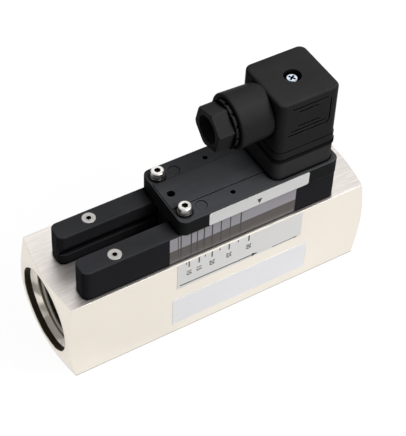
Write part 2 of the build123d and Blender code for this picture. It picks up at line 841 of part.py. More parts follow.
# Terminal block with its contacts
block_bottom = plug_bottom + fit_gap
block_top = block_bottom + block_height
pocket_width = blade_width + 2 * (socket_wall + blade_gap)
pocket_thickness = blade_thickness + 2 * (socket_wall + blade_gap)
with BuildPart() as terminal_block:
    with BuildSketch(Plane.XY.offset(block_bottom)):
        with Locations(plug_middle):
            RectangleRounded(
                cavity_size - 2 * block_gap,
                cavity_size - 2 * block_gap,
                cavity_corner - block_gap,
            )
            Circle(m3_radius + loose_gap, mode=Mode.SUBTRACT)
            with PolarLocations(blade_ring_radius, 4):
                Rectangle(
                    pocket_thickness + 2 * fit_gap, pocket_width + 2 * fit_gap, mode=Mode.SUBTRACT
                )
    extrude(amount=block_height)
    with BuildSketch(Plane.XY.offset(block_bottom)):
        with Locations(plug_middle):
            Circle(insert_radius + pillar_gap)
    extrude(amount=insert_rise - gasket_thickness + pillar_gap, mode=Mode.SUBTRACT)
write("terminal_block", terminal_block.part)

with BuildPart() as socket_contacts:
    with BuildSketch(Plane.XY.offset(block_bottom)):
        with Locations(plug_middle):
            with PolarLocations(blade_ring_radius, 4):
                Rectangle(pocket_thickness, pocket_width)
                Rectangle(
                    blade_thickness + 2 * blade_gap, blade_width + 2 * blade_gap, mode=Mode.SUBTRACT
                )
    extrude(amount=block_height)
    with BuildSketch(Plane.XY.offset(block_top)):
        with Locations(plug_middle):
            with PolarLocations(blade_ring_radius, 4):
                Rectangle(pocket_thickness, pocket_width)
    extrude(amount=bridge_thickness)
write("socket_contacts", socket_contacts.part)

with BuildPart() as terminal_screws:
    terminal_bottom = block_top + bridge_thickness
    with BuildSketch(Plane.XY.offset(terminal_bottom)):
        with Locations(plug_middle):
            with PolarLocations(blade_ring_radius, 4):
                Circle(terminal_head_radius)
    extrude(amount=terminal_head_height)
    with BuildSketch(Plane.XY.offset(terminal_bottom + terminal_head_height)):
        with Locations(plug_middle):
            with PolarLocations(blade_ring_radius, 4):
                Rectangle(terminal_slot_width, 2 * terminal_head_radius)
    extrude(amount=-terminal_slot_depth, mode=Mode.SUBTRACT)
write("terminal_screws", terminal_screws.part)

# Plug screw with its sealing ring
recess_floor = plug_top - plug_recess_depth
screw_head_bottom = recess_floor + seal_thickness
with BuildPart() as plug_screw:
    with BuildSketch(Plane.XY.offset(screw_head_bottom)):
        with Locations(plug_middle):
            Circle(plug_screw_head_radius)
    extrude(amount=plug_screw_head_height)
    fillet(plug_screw.faces().sort_by(Axis.Z)[-1].edges(), radius=plug_screw_rounding)
    with BuildSketch(Plane.XY.offset(screw_head_bottom)):
        with Locations(plug_middle):
            Circle(m3_radius)
    extrude(amount=-plug_screw_length)
    with BuildSketch(Plane.XY.offset(screw_head_bottom + plug_screw_head_height)):
        with Locations(plug_middle):
            Rectangle(cross_length, cross_width, rotation=cross_turn)
            Rectangle(cross_width, cross_length, rotation=cross_turn)
    extrude(amount=-cross_depth, mode=Mode.SUBTRACT)
write("plug_screw", plug_screw.part)

with BuildPart() as screw_seal:
    with BuildSketch(Plane.XY.offset(recess_floor)):
        with Locations(plug_middle):
            Circle(plug_recess_radius - seal_gap)
            Circle(m3_radius + 2 * fit_gap, mode=Mode.SUBTRACT)
    extrude(amount=seal_thickness)
write("screw_seal", screw_seal.part)

# Gland: nut with turned front corners, thrust washer and grommet
gland_head_back = ratchet_end - fit_gap
gland_corner_radius = gland_flats / 2 / cos(radians(30)) + fit_gap
with BuildPart() as gland_nut:
    with BuildSketch(cross_plane(gland_front, side_shift, entry_z)):
        RegularPolygon(gland_flats / 2, 6, major_radius=False, rotation=gland_turn)
    extrude(amount=gland_head_back - gland_front)
    with BuildSketch(gland_plane):
        with BuildLine():
            Polyline(
                (gland_front, 0),
                (gland_front, gland_bevel_radius),
                (gland_front + gland_bevel_length, gland_corner_radius),
                (gland_head_back, gland_corner_radius),
                (gland_head_back, 0),
                close=True,
            )
        make_face()
    revolve(axis=gland_axis, mode=Mode.INTERSECT)
    with BuildSketch(cross_plane(gland_head_back, side_shift, entry_z)):
        Circle(entry_bore_radius - fit_gap)
    extrude(amount=gland_shank_length + fit_gap)
    with BuildSketch(cross_plane(gland_front, side_shift, entry_z)):
        Circle(gland_bore_radius)
    extrude(amount=gland_head_length + gland_shank_length, mode=Mode.SUBTRACT)
write("gland_nut", gland_nut.part)

washer_x = ratchet_end + gland_shank_length + fit_gap
with BuildPart() as gland_washer:
    with BuildSketch(cross_plane(washer_x, side_shift, entry_z)):
        Circle(entry_bore_radius - loose_gap)
        Circle((gland_bore_radius + grommet_bore_radius) / 2, mode=Mode.SUBTRACT)
    extrude(amount=gland_washer_thickness)
write("gland_washer", gland_washer.part)

grommet_x = washer_x + gland_washer_thickness + fit_gap
with BuildPart() as cable_grommet:
    with BuildSketch(cross_plane(grommet_x, side_shift, entry_z)):
        Circle(entry_bore_radius - seat_gap)
        Circle(grommet_bore_radius, mode=Mode.SUBTRACT)
    extrude(amount=grommet_length)
write("cable_grommet", cable_grommet.part)


def label_plane(x0, x1, y, z_top, height):
    """Plane on a side face, in the middle of a label with these edges."""
    return Plane(((x0 + x1) / 2, y, z_top - height / 2), x_dir=(1, 0, 0), z_dir=(0, -1, 0))


# Labels on the body and on the housing
body_side = -bar / 2
rail_side = side_shift - rail_width / 2
housing_side = side_shift - housing_width / 2
scale_plane = label_plane(
    scale_label_start, scale_label_end, body_side, scale_label_top, scale_label_height
)
with BuildPart() as scale_label:
    with BuildSketch(scale_plane):
        Rectangle(scale_label_end - scale_label_start, scale_label_height)
    extrude(amount=label_thickness)
write("scale_label", scale_label.part)

blank_plane = label_plane(
    blank_label_start, blank_label_end, body_side, blank_label_top, blank_label_height
)
with BuildPart() as blank_label:
    with BuildSketch(blank_plane):
        Rectangle(blank_label_end - blank_label_start, blank_label_height)
    extrude(amount=label_thickness)
write("blank_label", blank_label.part)

pointer_label_top = housing_top - housing_edge
pointer_plane = label_plane(
    pointer_label_start, pointer_label_end, housing_side, pointer_label_top, pointer_label_height
)
with BuildPart() as pointer_label:
    with BuildSketch(pointer_plane):
        RectangleRounded(
            pointer_label_end - pointer_label_start, pointer_label_height, pointer_label_corner
        )
    extrude(amount=label_thickness)
write("pointer_label", pointer_label.part)

# Strip on the rail's side, bent where the rail's draft starts
strip_low = bar + (rail_height - strip_height) / 2
strip_fold = bar + rail_fold
with BuildPart() as scale_strip:
    lean = (strip_low + strip_height - strip_fold) * tan(radians(rail_draft))
    with BuildSketch(cross_plane(strip_start, rail_side, 0)):
        with BuildLine():
            Polyline(
                (0, strip_low),
                (0, strip_fold),
                (lean, strip_low + strip_height),
                (lean - label_thickness, strip_low + strip_height),
                (-label_thickness, strip_fold),
                (-label_thickness, strip_low),
                close=True,
            )
        make_face()
    extrude(amount=strip_end - strip_start)
write("scale_strip", scale_strip.part)
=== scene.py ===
"""Variable area flow switch: finishes, printed scale, pipe threads, return spring, studio and camera."""

import json
import math

import bmesh
import bpy
from bpy.props import FloatProperty, FloatVectorProperty, IntProperty, PointerProperty
from mathutils import Matrix, Vector


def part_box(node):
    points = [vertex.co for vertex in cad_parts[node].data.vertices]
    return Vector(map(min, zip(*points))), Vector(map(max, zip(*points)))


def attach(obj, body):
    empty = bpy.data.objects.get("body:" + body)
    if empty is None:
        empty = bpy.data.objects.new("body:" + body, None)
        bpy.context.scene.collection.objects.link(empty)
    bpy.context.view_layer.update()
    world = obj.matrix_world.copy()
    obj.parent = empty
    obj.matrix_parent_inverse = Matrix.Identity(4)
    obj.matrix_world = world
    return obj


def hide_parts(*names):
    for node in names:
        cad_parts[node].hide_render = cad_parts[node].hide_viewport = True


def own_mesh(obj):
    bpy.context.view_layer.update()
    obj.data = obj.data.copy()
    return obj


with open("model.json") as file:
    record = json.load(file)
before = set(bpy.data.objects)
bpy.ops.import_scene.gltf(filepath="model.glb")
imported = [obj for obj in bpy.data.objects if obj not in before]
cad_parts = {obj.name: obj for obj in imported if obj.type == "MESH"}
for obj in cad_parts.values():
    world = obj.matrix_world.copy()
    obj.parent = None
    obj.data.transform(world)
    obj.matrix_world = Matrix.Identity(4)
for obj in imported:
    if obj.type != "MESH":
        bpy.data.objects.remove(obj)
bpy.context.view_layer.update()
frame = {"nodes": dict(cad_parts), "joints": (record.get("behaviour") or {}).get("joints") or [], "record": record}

bl_info = {
    "name": "Flow Switch Finishing",
    "version": (1, 0, 0),
    "blender": (4, 5, 0),
    "location": "3D View > Sidebar > Flow Switch",
    "description": "Finishes, scale print, pipe threads and studio for a flow switch",
    "category": "Object",
}

MM = 0.001

# Distance from a face, to either side, within which a finish still belongs to it
BODY_TOP_SKIN = 0.4 * MM
BODY_END_SKIN = 0.3 * MM
RAIL_TOP_SKIN = 0.3 * MM
HOUSING_TOP_SKIN = 0.65 * MM
MOUTH_OUTER_SKIN = 0.2 * MM
MOUTH_INNER_SKIN = 0.15 * MM
THREAD_SKIN = 0.3 * MM

# How far the painted shade of a hole, a joint or a seam reaches
SOCKET_REACH = 2.4 * MM
JOINT_REACH = 3.5 * MM
GAP_REACH = 0.9 * MM
BORE_REACH = 20.0 * MM
SEAM_REACH = 1.6 * MM

# Relief of the patterns that only the light shows, and the body's rounded edge
METAL_RELIEF = 0.02 * MM
FILM_RELIEF = 0.01 * MM
BODY_EDGE = 0.35 * MM

# The upward part of a normal on a steep face and on a level one
STEEP, LEVEL = 0.4, 0.9

# Cosine between a face and its rounded edge where the painted edge highlight starts and where it is full
HIGHLIGHT_STARTS, HIGHLIGHT_FULL = 0.995, 0.92

# Samples of the shader nodes that look around a point
CREVICE_SAMPLES = 12
EDGE_SAMPLES = 4

# Points nearer than this are one
MERGE_DISTANCE = 1e-7

# How far an added thread is let into its wall, and cut back from its ends
THREAD_SEAT = 0.05 * MM

# The camera as fitted to the photo, in metres, and its focal length in the photo's pixels
CAMERA_SPOT = Vector((-0.20867, -0.32734, 0.47318))
CAMERA_TARGET = Vector((0.00259, -0.00147, 0.04016))
CAMERA_AZIMUTH = math.radians(-32.96)
CAMERA_ROLL = math.radians(2.86)
FOCAL_PIXELS = 1344.34
PHOTO_HEIGHT = 436
SENSOR_HEIGHT = 36.0

# The studio: where the lamps point, the floor's half width and its gap under the object
LAMP_TARGET = Vector((0.0, 0.0, 0.04))
FLOOR_REACH = 3.0
FLOOR_GAP = 0.1 * MM
WHITE = (1.0, 1.0, 1.0, 1.0)
PAPER = (0.5, 0.5, 0.5, 1.0)


class Signal:
    """A shader value that arithmetic works on; each operation adds its Math node."""

    def __init__(self, finish, socket):
        self.finish = finish
        self.socket = socket

    def math(self, operation, *values):
        return self.finish.node("ShaderNodeMath", {"operation": operation}, dict(enumerate(values)))

    def __add__(self, other):
        return self.math("ADD", self, other)

    def __radd__(self, other):
        return self.math("ADD", other, self)

    def __sub__(self, other):
        return self.math("SUBTRACT", self, other)

    def __rsub__(self, other):
        return self.math("SUBTRACT", other, self)

    def __mul__(self, other):
        return self.math("MULTIPLY", self, other)

    def __rmul__(self, other):
        return self.math("MULTIPLY", other, self)

    def __gt__(self, other):
        return self.math("GREATER_THAN", self, other)

    def __lt__(self, other):
        return self.math("LESS_THAN", self, other)

    def __abs__(self):
        return self.math("ABSOLUTE", self)

    def root(self):
        """The square root."""
        return self.math("SQRT", self)


class Finish:
    """A material, or a world's surroundings, that is built node by node in metres."""

    def __init__(self, name, owner=None, space="Object"):
        self.material = owner or bpy.data.materials.new(name)
        self.material.use_nodes = True
        self.tree = self.material.node_tree
        self.tree.nodes.clear()
        self.place = self.node("ShaderNodeTexCoord", out=space)

    def node(self, kind, settings=None, inputs=None, out=0):
        """Add a node: its settings first, then the values or links of its sockets."""
        made = self.tree.nodes.new(kind)
        for key, value in (settings or {}).items():
            setattr(made, key, value)
        for key, value in (inputs or {}).items():
            if isinstance(value, Signal):
                self.tree.links.new(value.socket, made.inputs[key])
            else:
                made.inputs[key].default_value = value
        return Signal(self, made.outputs[out]) if made.outputs else None

    def looked_at(self):
        """One for rays from the camera and for what metal and glass show, zero for light on the object."""
        paths = self.node("ShaderNodeLightPath").socket.node.outputs
        rays = ("Is Camera Ray", "Is Glossy Ray", "Is Transmission Ray")
        return self.ramp(sum(Signal(self, paths[ray]) for ray in rays), 0.0, 1.0)

    def axes(self, vector=None):
        """The three parts of a vector: by default the point on the piece, in metres."""
        split = self.node("ShaderNodeSeparateXYZ", inputs={0: vector or self.place})
        return [Signal(self, part) for part in split.socket.node.outputs]

    def facing_up(self):
        """One on level faces, zero on steep ones."""
        upward = self.axes(self.node("ShaderNodeNewGeometry", out="Normal"))[2]
        return self.ramp(upward, STEEP, LEVEL)

    def stretched(self, scale):
        """The pattern space, drawn out along one axis."""
        return self.node("ShaderNodeMapping", inputs={"Vector": self.place, "Scale": scale})

    def noise(self, scale, detail=3.0, vector=None):
        """A cloudy pattern from zero to one."""
        inputs = {"Vector": vector or self.place, "Scale": scale, "Detail": detail, "Roughness": 0.55}
        return self.node("ShaderNodeTexNoise", inputs=inputs)

    def blend(self, mask, below, above):
        """One colour giving way to another; a Mix node has its colours on sockets 6, 7 and 2."""
        return self.node(
            "ShaderNodeMix", {"data_type": "RGBA"}, {0: mask, 6: below, 7: above}, out=2
        )

    def tint(self, factor, dark, light):
        """A colour between two others."""
        return self.blend(factor, (*dark, 1.0), (*light, 1.0))

    def over(self, below, mask, colour):
        """A colour painted over another where the mask is one."""
        return self.blend(mask, below, (*colour, 1.0))

    def crevice(self, reach):
        """One in the open, falling to zero deep in a hole or against a neighbour."""
        samples = {"samples": CREVICE_SAMPLES}
        return self.node("ShaderNodeAmbientOcclusion", samples, {"Distance": reach}, out="AO")

    def ramp(self, value, low, high, start=0.0, end=1.0):
        """A value taken from one range to another and kept inside it."""
        return self.node(
            "ShaderNodeMapRange",
            {"clamp": True},
            {"Value": value, "From Min": low, "From Max": high, "To Min": start, "To Max": end},
        )

    def highlit_edges(self, radius):
        """One along edges within this radius, zero on flat and gently curved faces."""
        normals = {0: self.node("ShaderNodeNewGeometry", out="Normal"), 1: self.soft_edges(radius)}
        alike = self.node("ShaderNodeVectorMath", {"operation": "DOT_PRODUCT"}, normals, out="Value")
        return self.ramp(alike, HIGHLIGHT_STARTS, HIGHLIGHT_FULL)

    def soft_edges(self, radius):
        """Normals that round the edges over this radius."""
        return self.node("ShaderNodeBevel", {"samples": EDGE_SAMPLES}, {"Radius": radius})

    def bump(self, height, distance, strength, normal=None):
        """Normals tilted by a relief, on top of others where they are given."""
        inputs = {"Height": height, "Distance": distance, "Strength": strength}
        if normal:
            inputs["Normal"] = normal
        return self.node("ShaderNodeBump", inputs=inputs)

    def surface(self, **sockets):
        """Finish with one principled surface; underscores stand for spaces in socket names."""
        inputs = {key.replace("_", " "): value for key, value in sockets.items()}
        shader = self.node("ShaderNodeBsdfPrincipled", inputs=inputs)
        self.node("ShaderNodeOutputMaterial", inputs={"Surface": shader})
        return self.material


def shade(colour, factor):
    """A colour made darker or lighter by a factor."""
    return tuple(min(1.0, channel * factor) for channel in colour)


def metal(name, colour, rough, grain=(1.0, 1.0, 1.0), grain_scale=400.0, edge=0.2 * MM):
    """Bare or plated metal: a fine grain that can run along one axis, with painted shade in sockets and slots."""
    finish = Finish(name)
    fine = finish.noise(grain_scale, 4.0, finish.stretched(grain))
    cloud = finish.noise(38.0, 2.0)
    bare = finish.tint(cloud * 0.6 + fine * 0.4, shade(colour, 0.93), shade(colour, 1.05))
    # Painted shade: darker where sockets and slots hide the light
    socket_shade = finish.ramp(finish.crevice(SOCKET_REACH), 0.88, 0.66)
    return finish.surface(
        Base_Color=finish.over(bare, socket_shade, shade(colour, 0.04)),
        Metallic=1.0,
        Roughness=rough + fine * 0.1 + cloud * 0.05,
        Normal=finish.bump(fine, METAL_RELIEF, 0.25, finish.soft_edges(edge)),
    )


def moulded(name, colour, rough, pits, depth=0.04 * MM, edge=0.3 * MM, lit_top=None, lit_top_height=0.0):
    """Moulded plastic: eroded texture, painted highlights along edges, painted shade in joints and gaps and, on
    request, a top painted paler for the light from above.
    """
    finish = Finish(name)
    fine = finish.noise(pits, 2.0)
    cloud = finish.noise(55.0, 3.0)
    even = finish.tint(cloud, shade(colour, 0.86), shade(colour, 1.14))
    # Painted light: upward faces above a height are paler, as if lit from above
    if lit_top:
        rubbed = finish.noise(60.0, 4.0, finish.stretched((0.35, 1.6, 1.0)))
        pale = finish.tint(rubbed * 0.7 + cloud * 0.3, shade(lit_top, 0.5), shade(lit_top, 1.45))
        top = (finish.axes()[2] > lit_top_height) * finish.facing_up()
        even = finish.blend(top, even, pale)
    # Painted shade in joints and narrow gaps, where little light reaches
    wide_joint_shade = finish.ramp(finish.crevice(JOINT_REACH), 0.85, 0.4)
    narrow_gap_shade = finish.ramp(finish.crevice(GAP_REACH), 0.9, 0.6)
    # Painted highlight along the rounded edges
    edge_highlight = finish.highlit_edges(edge * 1.2) * 0.8
    edge_lit = finish.over(even, edge_highlight, shade(lit_top or colour, 2.0))
    return finish.surface(
        Base_Color=finish.over(edge_lit, wide_joint_shade + narrow_gap_shade, shade(colour, 0.12)),
        Roughness=rough - 0.05 + fine * 0.06 + cloud * 0.08,
        Specular_IOR_Level=0.005,
        Normal=finish.bump(fine, depth, 0.5, finish.soft_edges(edge)),
    )


def film(name, colour, rough):
    """Printed film: nearly even, with a faint orange peel."""
    finish = Finish(name)
    peel = finish.noise(900.0, 2.0)
    cloud = finish.noise(60.0, 2.0)
    return finish.surface(
        Base_Color=finish.tint(cloud, shade(colour, 0.975), shade(colour, 1.015)),
        Roughness=rough + cloud * 0.06,
        Normal=finish.bump(peel, FILM_RELIEF, 0.2),
    )


def dress(material, *nodes):
    """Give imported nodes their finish."""
    for name in nodes:
        for socket in frame["nodes"][name].material_slots:
            socket.material = material


def piece(name, mesh_builder, material, body, smooth=False):
    """Make an object from a bmesh; its place is in its mesh and it rides on a body."""
    mesh = bpy.data.meshes.new(name)
    mesh_builder.normal_update()
    mesh_builder.to_mesh(mesh)
    mesh_builder.free()
    if smooth:
        mesh.shade_smooth()
    mesh.materials.append(material)
    made = bpy.data.objects.new(name, mesh)
    bpy.context.scene.collection.objects.link(made)
    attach(made, body)
    return made


def plate(bm, outline, front, thickness):
    """Flat printed shape: an outline of (x, z) in millimetres, standing out from the labelled side."""
    corners = [bm.verts.new((x * MM, front, z * MM)) for x, z in outline]
    face = bm.faces.new(corners)
    grown = bmesh.ops.extrude_face_region(bm, geom=[face])["geom"]
    moved = [part for part in grown if isinstance(part, bmesh.types.BMVert)]
    bmesh.ops.translate(bm, verts=moved, vec=(0, -thickness, 0))
    bmesh.ops.recalc_face_normals(bm, faces=bm.faces)


def stroke(bm, start, end, width, front, thickness):
    """Straight printed line between two points (x, z) in millimetres."""
    (x0, z0), (x1, z1) = start, end
    length = math.hypot(x1 - x0, z1 - z0)
    nx, nz = -(z1 - z0) / length * width / 2, (x1 - x0) / length * width / 2
    outline = [(x0 + nx, z0 + nz), (x0 - nx, z0 - nz), (x1 - nx, z1 - nz), (x1 + nx, z1 + nz)]
    plate(bm, outline, front, thickness)


def helix(bm, profile, axis_z, turns, pitch, steps):
    """Sweep a closed profile of (x, radius) in metres along a helix round a line along X at this height."""
    corners = [bm.verts.new((x, 0.0, axis_z + radius)) for x, radius in profile]
    face = bm.faces.new(corners)
    count = int(steps * turns)
    bmesh.ops.spin(
        bm,
        geom=[face, *face.edges, *face.verts],
        cent=(0, 0, axis_z),
        axis=(1, 0, 0),
        dvec=(pitch * turns / count, 0, 0),
        angle=2 * math.pi * turns,
        steps=count,
        use_merge=False,
        use_duplicate=False,
    )
    bmesh.ops.remove_doubles(bm, verts=bm.verts, dist=MERGE_DISTANCE)
    bmesh.ops.recalc_face_normals(bm, faces=bm.faces)


def cut_flat(bm, x, outwards):
    """Cut a mesh across X, drop what lies outwards of the cut and close it with a face."""
    cut = bmesh.ops.bisect_plane(
        bm,
        geom=[*bm.verts, *bm.edges, *bm.faces],
        dist=MERGE_DISTANCE,
        plane_co=(x, 0.0, 0.0),
        plane_no=(outwards, 0.0, 0.0),
        clear_outer=True,
    )
    rims = [part for part in cut["geom_cut"] if isinstance(part, bmesh.types.BMEdge)]
    bmesh.ops.edgenet_fill(bm, edges=[rim for rim in rims if rim.is_boundary])


def port_size(dimension):
    """A size of the inlet port in metres, from the record's mounts; the outlet port has the same."""
    port = next(mount for mount in frame["record"]["mounts"] if mount["name"] == "inlet_port")
    return port["dims"][dimension] * MM


class FlowSwitchColours(bpy.types.PropertyGroup):
    """Colours of the finishes."""

    nickel: FloatVectorProperty(
        name="Nickel", description="Plated square body", subtype="COLOR", default=(0.86, 0.805, 0.725)
    )
    # Ground top face: its darker, cooler tone is partly a painted reflection of a dim space above
    ground_shaded_top: FloatVectorProperty(
        name="Ground top", description="Face under the rail", subtype="COLOR", default=(0.765, 0.72, 0.69)
    )
    # Painted shade: the dark brown of the port walls and thread roots stands for shade and dark reflections
    bore_shade_brown: FloatVectorProperty(
        name="Bore brown", description="Walls of the ports", subtype="COLOR", default=(0.058, 0.048, 0.032)
    )
    brass: FloatVectorProperty(
        name="Brass", description="Turned parts inside", subtype="COLOR", default=(0.78, 0.60, 0.32)
    )
    steel: FloatVectorProperty(
        name="Steel", description="Screws, rod and spring", subtype="COLOR", default=(0.72, 0.70, 0.67)
    )
    zinc: FloatVectorProperty(
        name="Zinc", description="Plug screw", subtype="COLOR", default=(0.58, 0.66, 0.76)
    )
    contact: FloatVectorProperty(
        name="Contact", description="Blades and sockets", subtype="COLOR", default=(0.74, 0.73, 0.70)
    )
    magnet: FloatVectorProperty(
        name="Magnet", description="Ring in the float", subtype="COLOR", default=(0.12, 0.12, 0.125)
    )
    glass_dim: FloatVectorProperty(
        name="Glass, dim", description="Reed switch, dark", subtype="COLOR", default=(0.70, 0.82, 0.77)
    )
    glass_clear: FloatVectorProperty(
        name="Glass, clear", description="Reed switch, pale", subtype="COLOR", default=(0.80, 0.90, 0.85)
    )
    rail: FloatVectorProperty(
        name="Rail", description="Fork rail and shoe", subtype="COLOR", default=(0.0175, 0.0177, 0.0195)
    )
    housing: FloatVectorProperty(
        name="Housing", description="Switch housing, sides", subtype="COLOR", default=(0.0145, 0.015, 0.015)
    )
    # The housing's top: its own texture, and painted light from above
    housing_lit_textured_top: FloatVectorProperty(
        name="Housing top", description="Textured top", subtype="COLOR", default=(0.066, 0.0675, 0.073)
    )
    plug: FloatVectorProperty(
        name="Plug", description="Connector and gland", subtype="COLOR", default=(0.0195, 0.0194, 0.0200)
    )
    rubber: FloatVectorProperty(
        name="Rubber", description="Seals and gasket", subtype="COLOR", default=(0.010, 0.010, 0.010)
    )
    scale_film: FloatVectorProperty(
        name="Scale film", description="Scale's label", subtype="COLOR", default=(0.76, 0.755, 0.74)
    )
    white_film: FloatVectorProperty(
        name="White film", description="Lower label on the body", subtype="COLOR", default=(0.90, 0.90, 0.92)
    )
    pointer_film: FloatVectorProperty(
        name="Pointer film", description="Label on the housing", subtype="COLOR", default=(0.66, 0.66, 0.655)
    )
    # The strip's two halves: painted reflections of its film
    strip_upper_reflection: FloatVectorProperty(
        name="Strip, upper", description="Upper half", subtype="COLOR", default=(0.275, 0.262, 0.285)
    )
    strip_lower_reflection: FloatVectorProperty(
        name="Strip, lower", description="Lower half", subtype="COLOR", default=(0.055, 0.041, 0.035)
    )
    ink: FloatVectorProperty(
        name="Ink", description="Printed marks", subtype="COLOR", default=(0.012, 0.012, 0.013)
    )
    grey_ink: FloatVectorProperty(
        name="Grey ink", description="Second, faint arrow", subtype="COLOR", default=(0.10, 0.10, 0.092)
    )


class FlowSwitchSizes(bpy.types.PropertyGroup):
    """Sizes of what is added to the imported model, and the strength of the light."""

    mouth_radius: FloatProperty(
        name="Mouth radius", description="Counterbore of a port", subtype="DISTANCE", default=19.2 * MM
    )
    mouth_depth: FloatProperty(
        name="Mouth depth", description="Counterbore down to its cone", subtype="DISTANCE", default=2.8 * MM
    )
    thread_pitch: FloatProperty(
        name="Thread pitch", description="Eleven turns to the inch", subtype="DISTANCE", default=2.309 * MM
    )
    thread_crest: FloatProperty(
        name="Thread crest", description="Radius inside the thread", subtype="DISTANCE", default=15.15 * MM
    )
    thread_steps: IntProperty(name="Thread steps", description="Facets in a turn", default=96, min=24)
    spring_wire: FloatProperty(
        name="Spring wire", description="Wire diameter", subtype="DISTANCE", default=0.9 * MM
    )
    spring_radius: FloatProperty(
        name="Spring radius", description="To the wire's middle", subtype="DISTANCE", default=5.4 * MM
    )
    spring_turns: IntProperty(name="Spring turns", description="Working turns", default=11, min=3)
    spring_steps: IntProperty(name="Spring steps", description="Facets in a turn", default=32, min=12)
    wire_facets: IntProperty(name="Wire facets", description="Sides of the spring's wire", default=8, min=4)
    ink_thickness: FloatProperty(
        name="Ink thickness", description="Print above its film", subtype="DISTANCE", default=0.02 * MM
    )
    numeral_height: FloatProperty(
        name="Numeral height", description="Numbers on the scale", subtype="DISTANCE", default=2.3 * MM
    )
    key_light: FloatProperty(name="Key light", description="Power", subtype="POWER", default=3.2, min=0.0)
    fill_light: FloatProperty(name="Fill light", description="Power", subtype="POWER", default=4.3, min=0.0)
    rim_light: FloatProperty(name="Rim light", description="Power", subtype="POWER", default=0.75, min=0.0)
    air_light: FloatProperty(name="Air light", description="From all round", default=0.17, min=0.0)
    floor_glow: FloatProperty(name="Floor glow", description="Floor as it is seen", default=1.12, min=0.0)


class FLOWSWITCH_OT_body(bpy.types.Operator):
    """Plated square body with its turned ends"""

    bl_idname = "flow_switch.body"
    bl_label = "Square body"

    def execute(self, context):
        colours = context.scene.flow_switch_colours
        mouth = context.scene.flow_switch_sizes.mouth_radius
        low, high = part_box("brass_body")
        middle = (low.z + high.z) / 2
        finish = Finish("plated_nickel")
        x, y, z = finish.axes()
        brush = finish.noise(2100.0, 4.0, finish.stretched((0.06, 1.0, 1.0)))
        cloud = finish.noise(30.0, 3.0)
        patina = finish.noise(9.0, 2.0)

        top = (z > high.z - BODY_TOP_SKIN) * finish.facing_up()
        rise = z - middle
        radius = (y * y + rise * rise).root()
        bore = radius < mouth + MOUTH_OUTER_SKIN
        inside = abs(x - (low.x + high.x) / 2) < (high.x - low.x) / 2 - BODY_END_SKIN
        wall = bore * inside * (radius > mouth - MOUTH_INNER_SKIN)
        thread = bore * (radius < port_size("r_mm") + THREAD_SKIN)

        warm = finish.tint(cloud, shade(colours.nickel, 0.96), shade(colours.nickel, 1.04))
        streak = finish.ramp(brush * 0.65 + cloud * 0.35, 0.36, 0.64)
        # Ground top face: real brush streaks, and a darker, cooler tone that is partly a painted reflection of a
        # dim space above
        ground_shaded = finish.tint(streak, shade(colours.ground_shaded_top, 0.88), shade(colours.ground_shaded_top, 1.16))
        plated = finish.blend(top, warm, ground_shaded)
        # Painted reflection: dark patches in the bore stand for the uneven reflection of its turned ring
        reflection_patches = finish.ramp(finish.noise(105.0, 1.0), 0.40, 0.56) * bore * 0.8
        patched = finish.over(plated, reflection_patches, shade(colours.nickel, 0.22))
        # Painted shade deep in the bore and over its thread, and the counterbore wall painted dark for its dark
        # reflection
        shadow = finish.ramp(thread + finish.ramp(finish.crevice(BORE_REACH), 0.8, 0.4) * bore, 0.0, 1.0)
        shadowed = finish.over(patched, shadow, shade(colours.bore_shade_brown, 3.0))
        wall_shaded = finish.over(shadowed, wall, colours.bore_shade_brown)
        # Painted shade at seams and under the parts on the body, outside the bore
        seam_shade = finish.ramp(finish.crevice(SEAM_REACH), 0.8, 0.5) * (1 - bore)
        material = finish.surface(
            Base_Color=finish.over(wall_shaded, seam_shade, shade(colours.nickel, 0.25)),
            Metallic=1.0,
            Roughness=0.36 + brush * 0.12 + patina * 0.08,
            Normal=finish.bump(brush, METAL_RELIEF, 0.35, finish.soft_edges(BODY_EDGE)),
        )
        dress(material, "brass_body")
        return {"FINISHED"}


